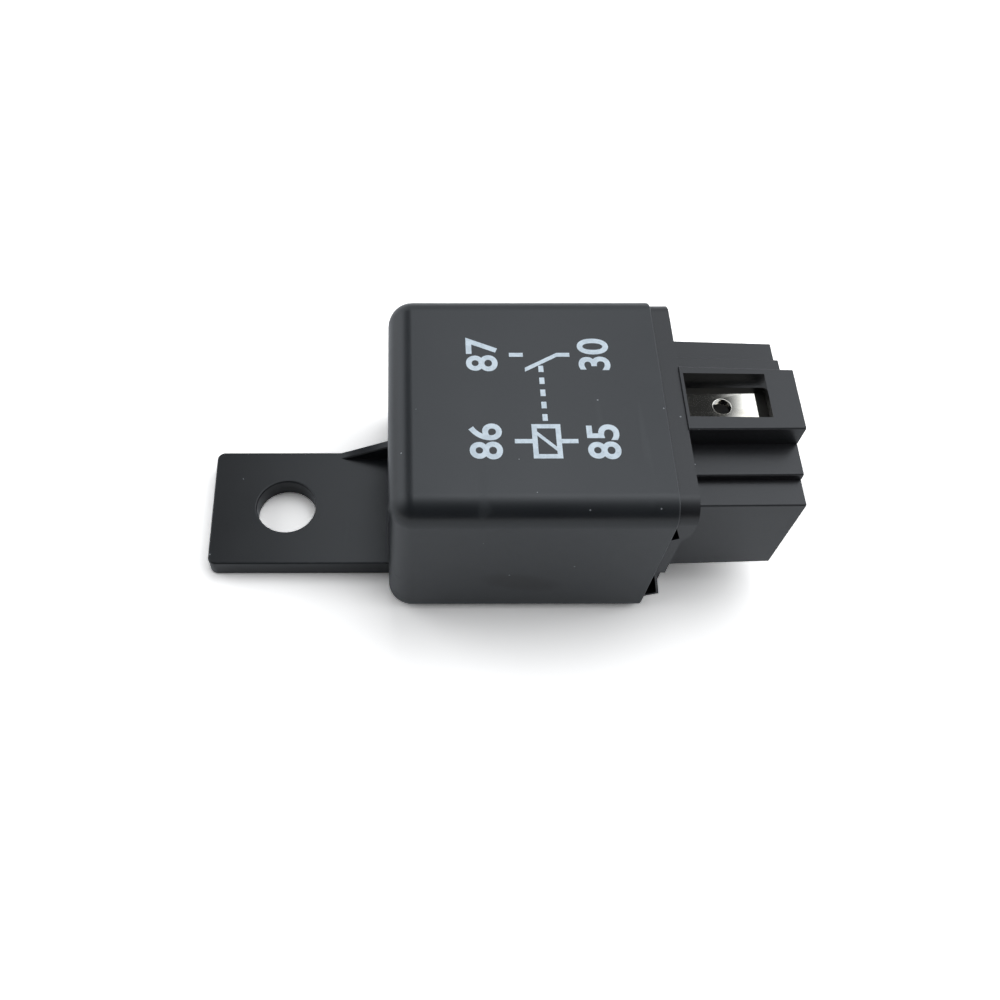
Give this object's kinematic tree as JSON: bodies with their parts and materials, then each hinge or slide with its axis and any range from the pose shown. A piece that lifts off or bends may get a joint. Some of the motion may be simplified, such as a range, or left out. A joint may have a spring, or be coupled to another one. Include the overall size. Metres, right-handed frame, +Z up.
{
  "type": "automotive relay",
  "caption": "Plug-in automotive relay: a moulded can with a screw tab, a stepped connector shroud with blade terminals, and a coil, hinged armature and contacts inside.",
  "frame": {"origin": "on the axis of the tab's screw hole, in the flat mounting face", "axes": "+X from the screw hole to the connector mouth, +Z up from the mounting face to the printed face, +Y across the can"},
  "size_m": [0.0606, 0.0272, 0.0196],
  "materials": {
    "cover_plastic": "satin moulded, dark grey",
    "base_plastic": "satin moulded, near black",
    "tinned_brass": "bright tin plate",
    "bobbin_plastic": "natural moulded",
    "copper_wire": "enamelled copper",
    "tape": "smooth adhesive tape",
    "iron": "nickel-plated soft iron",
    "spring_bronze": "rolled phosphor bronze",
    "contact_silver": "silver alloy",
    "rivet": "headed brass",
    "stop_steel": "tinned strip",
    "braid_copper": "woven copper",
    "resistor_lacquer": "lacquered",
    "solder": "dull solder"
  },
  "bodies": {
    "housing": {"cover": "cover_plastic", "base": "base_plastic", "terminal_87": "tinned_brass", "terminal_30": "tinned_brass", "terminal_85": "tinned_brass", "terminal_86": "tinned_brass", "bobbin": "bobbin_plastic", "coil_winding": "copper_wire", "coil_tape": "tape", "core": "iron", "yoke": "iron", "fixed_contact": "contact_silver", "back_stop": "stop_steel", "yoke_rivets": "rivet", "braid": "braid_copper", "resistor": "resistor_lacquer", "resistor_leads": "tinned_brass", "coil_wire_85": "copper_wire", "coil_wire_86": "copper_wire", "solder_joints": "solder"},
    "armature": {"armature": "iron", "contact_spring": "spring_bronze", "moving_contact": "contact_silver", "armature_rivets": "rivet"}
  },
  "joints": [
    {"name": "armature_pivot", "type": "hinge", "parent": "housing", "child": "armature", "pos_m": [0.0184, -0.0088, 0.0098], "axis": [0, 0, -1], "range_deg": [0, 2.85], "stiffness_Nm_per_rad": 0.04, "springref_deg": -8.59, "deforming": ["contact_spring", "braid"]}
  ]
}
